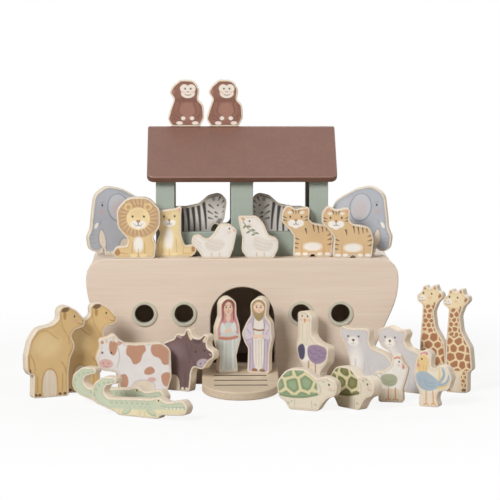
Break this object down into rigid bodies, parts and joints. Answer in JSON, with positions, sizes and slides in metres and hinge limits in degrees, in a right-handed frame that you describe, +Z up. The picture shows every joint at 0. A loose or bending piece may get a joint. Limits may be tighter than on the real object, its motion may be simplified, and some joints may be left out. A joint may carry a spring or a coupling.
{
  "type": "wooden noah's ark play set",
  "caption": "Wooden toy ark with lift-out cabin deck, lift-off gable roof, pull-off gangplank and loose flat animal and people figures.",
  "frame": {"origin": "on the ground, under the middle of the hull", "axes": "+X along the hull towards the stern, +Z up, the doorway side towards -Y"},
  "size_m": [0.4689, 0.3902, 0.3208],
  "materials": {
    "hull_wood": "lacquered beech",
    "plank_wood": "lacquered beech",
    "sage_paint": "satin paint",
    "ring_paint": "satin paint",
    "brown_paint": "satin paint",
    "brace_wood": "lacquered beech",
    "man_print": "printed wood",
    "woman_print": "printed wood",
    "monkey_print": "printed wood",
    "elephant_print": "printed wood",
    "lion_print": "printed wood",
    "lioness_print": "printed wood",
    "dove_print": "printed wood",
    "tiger_print": "printed wood",
    "zebra_print": "printed wood",
    "camel_print": "printed wood",
    "cow_print": "printed wood",
    "bull_print": "printed wood",
    "crocodile_print": "printed wood",
    "ostrich_print": "printed wood",
    "bear_print": "printed wood",
    "turtle_print": "printed wood",
    "hen_print": "printed wood",
    "rooster_print": "printed wood",
    "giraffe_print": "printed wood"
  },
  "bodies": {
    "hull": {"hull_side_front": "hull_wood", "hull_side_back": "hull_wood", "bow_board": "hull_wood", "stern_board": "hull_wood", "hull_floor": "hull_wood", "deck_ledge_front": "hull_wood", "deck_ledge_back": "hull_wood", "porthole_ring_front_1": "ring_paint", "porthole_ring_front_2": "ring_paint", "porthole_ring_front_3": "ring_paint", "porthole_ring_front_4": "ring_paint", "porthole_ring_back_1": "ring_paint", "porthole_ring_back_2": "ring_paint", "porthole_ring_back_3": "ring_paint", "porthole_ring_back_4": "ring_paint"},
    "plank": {"gangplank": "plank_wood", "gangplank_peg_1": "plank_wood", "gangplank_peg_2": "plank_wood"},
    "cabin_deck": {"deck_board": "hull_wood", "cabin_front_wall": "sage_paint", "cabin_back_wall": "sage_paint", "cabin_bow_wall": "sage_paint", "cabin_stern_wall": "sage_paint"},
    "roof": {"roof_front_slab": "brown_paint", "roof_back_slab": "brown_paint", "roof_brace_bow": "brace_wood", "roof_brace_stern": "brace_wood"},
    "lion_figure": {"lion": "lion_print"},
    "dove_left_figure": {"dove_left": "dove_print"},
    "dove_right_figure": {"dove_right": "dove_print"},
    "tiger_right_figure": {"tiger_right": "tiger_print"},
    "camel_front_figure": {"camel_front": "camel_print"},
    "camel_rear_figure": {"camel_rear": "camel_print"},
    "cow_figure": {"cow": "cow_print"},
    "bull_figure": {"bull": "bull_print"},
    "crocodile_front_figure": {"crocodile_front": "crocodile_print"},
    "crocodile_rear_figure": {"crocodile_rear": "crocodile_print"},
    "ostrich_figure": {"ostrich": "ostrich_print"},
    "polar_bear_left_figure": {"polar_bear_left": "bear_print"},
    "polar_bear_right_figure": {"polar_bear_right": "bear_print"},
    "turtle_left_figure": {"turtle_left": "turtle_print"},
    "turtle_right_figure": {"turtle_right": "turtle_print"},
    "hen_figure": {"hen": "hen_print"},
    "rooster_figure": {"rooster": "rooster_print"},
    "giraffe_left_figure": {"giraffe_left": "giraffe_print"},
    "giraffe_right_figure": {"giraffe_right": "giraffe_print"},
    "lioness_figure": {"lioness": "lioness_print"},
    "tiger_left_figure": {"tiger_left": "tiger_print"},
    "elephant_left_figure": {"elephant_left": "elephant_print"},
    "elephant_right_figure": {"elephant_right": "elephant_print"},
    "zebra_left_figure": {"zebra_left": "zebra_print"},
    "zebra_right_figure": {"zebra_right": "zebra_print"},
    "monkey_left_figure": {"monkey_left": "monkey_print"},
    "monkey_right_figure": {"monkey_right": "monkey_print"},
    "man_figure": {"man": "man_print"},
    "woman_figure": {"woman": "woman_print"}
  },
  "joints": [
    {"name": "gangplank_pull", "type": "slide", "parent": "hull", "child": "plank", "axis": [0, -1, 0], "range_m": [0, 0.015]},
    {"name": "deck_lift", "type": "slide", "parent": "hull", "child": "cabin_deck", "axis": [0, 0, 1], "range_m": [0, 0.04]},
    {"name": "roof_lift", "type": "slide", "parent": "cabin_deck", "child": "roof", "axis": [0, 0, 1], "range_m": [0, 0.06]},
    {"name": "lion_lift", "type": "slide", "parent": "hull", "child": "lion_figure", "axis": [0, 0, 1], "range_m": [0, 0.03]},
    {"name": "dove_left_lift", "type": "slide", "parent": "hull", "child": "dove_left_figure", "axis": [0, 0, 1], "range_m": [0, 0.03]},
    {"name": "dove_right_lift", "type": "slide", "parent": "hull", "child": "dove_right_figure", "axis": [0, 0, 1], "range_m": [0, 0.03]},
    {"name": "tiger_right_lift", "type": "slide", "parent": "hull", "child": "tiger_right_figure", "axis": [0, 0, 1], "range_m": [0, 0.03]},
    {"name": "camel_front_lift", "type": "slide", "parent": "hull", "child": "camel_front_figure", "axis": [0, 0, 1], "range_m": [0, 0.03]},
    {"name": "camel_rear_lift", "type": "slide", "parent": "hull", "child": "camel_rear_figure", "axis": [0, 0, 1], "range_m": [0, 0.03]},
    {"name": "cow_lift", "type": "slide", "parent": "hull", "child": "cow_figure", "axis": [0, 0, 1], "range_m": [0, 0.03]},
    {"name": "bull_lift", "type": "slide", "parent": "hull", "child": "bull_figure", "axis": [0, 0, 1], "range_m": [0, 0.03]},
    {"name": "crocodile_front_lift", "type": "slide", "parent": "hull", "child": "crocodile_front_figure", "axis": [0, 0, 1], "range_m": [0, 0.03]},
    {"name": "crocodile_rear_lift", "type": "slide", "parent": "hull", "child": "crocodile_rear_figure", "axis": [0, 0, 1], "range_m": [0, 0.03]},
    {"name": "ostrich_lift", "type": "slide", "parent": "hull", "child": "ostrich_figure", "axis": [0, 0, 1], "range_m": [0, 0.03]},
    {"name": "polar_bear_left_lift", "type": "slide", "parent": "hull", "child": "polar_bear_left_figure", "axis": [0, 0, 1], "range_m": [0, 0.03]},
    {"name": "polar_bear_right_lift", "type": "slide", "parent": "hull", "child": "polar_bear_right_figure", "axis": [0, 0, 1], "range_m": [0, 0.03]},
    {"name": "turtle_left_lift", "type": "slide", "parent": "hull", "child": "turtle_left_figure", "axis": [0, 0, 1], "range_m": [0, 0.03]},
    {"name": "turtle_right_lift", "type": "slide", "parent": "hull", "child": "turtle_right_figure", "axis": [0, 0, 1], "range_m": [0, 0.03]},
    {"name": "hen_lift", "type": "slide", "parent": "hull", "child": "hen_figure", "axis": [0, 0, 1], "range_m": [0, 0.03]},
    {"name": "rooster_lift", "type": "slide", "parent": "hull", "child": "rooster_figure", "axis": [0, 0, 1], "range_m": [0, 0.03]},
    {"name": "giraffe_left_lift", "type": "slide", "parent": "hull", "child": "giraffe_left_figure", "axis": [0, 0, 1], "range_m": [0, 0.03]},
    {"name": "giraffe_right_lift", "type": "slide", "parent": "hull", "child": "giraffe_right_figure", "axis": [0, 0, 1], "range_m": [0, 0.03]},
    {"name": "lioness_lift", "type": "slide", "parent": "cabin_deck", "child": "lioness_figure", "axis": [0, 0, 1], "range_m": [0, 0.02]},
    {"name": "tiger_left_lift", "type": "slide", "parent": "cabin_deck", "child": "tiger_left_figure", "axis": [0, 0, 1], "range_m": [0, 0.02]},
    {"name": "elephant_left_lift", "type": "slide", "parent": "cabin_deck", "child": "elephant_left_figure", "axis": [0, 0, 1], "range_m": [0, 0.028]},
    {"name": "elephant_right_lift", "type": "slide", "parent": "cabin_deck", "child": "elephant_right_figure", "axis": [0, 0, 1], "range_m": [0, 0.028]},
    {"name": "zebra_left_lift", "type": "slide", "parent": "cabin_deck", "child": "zebra_left_figure", "axis": [0, 0, 1], "range_m": [0, 0.026]},
    {"name": "zebra_right_lift", "type": "slide", "parent": "cabin_deck", "child": "zebra_right_figure", "axis": [0, 0, 1], "range_m": [0, 0.026]},
    {"name": "monkey_left_lift", "type": "slide", "parent": "roof", "child": "monkey_left_figure", "axis": [0, 0, 1], "range_m": [0, 0.03]},
    {"name": "monkey_right_lift", "type": "slide", "parent": "roof", "child": "monkey_right_figure", "axis": [0, 0, 1], "range_m": [0, 0.03]},
    {"name": "man_lift", "type": "slide", "parent": "plank", "child": "man_figure", "axis": [0, 0, 1], "range_m": [0, 0.03]},
    {"name": "woman_lift", "type": "slide", "parent": "plank", "child": "woman_figure", "axis": [0, 0, 1], "range_m": [0, 0.03]}
  ]
}
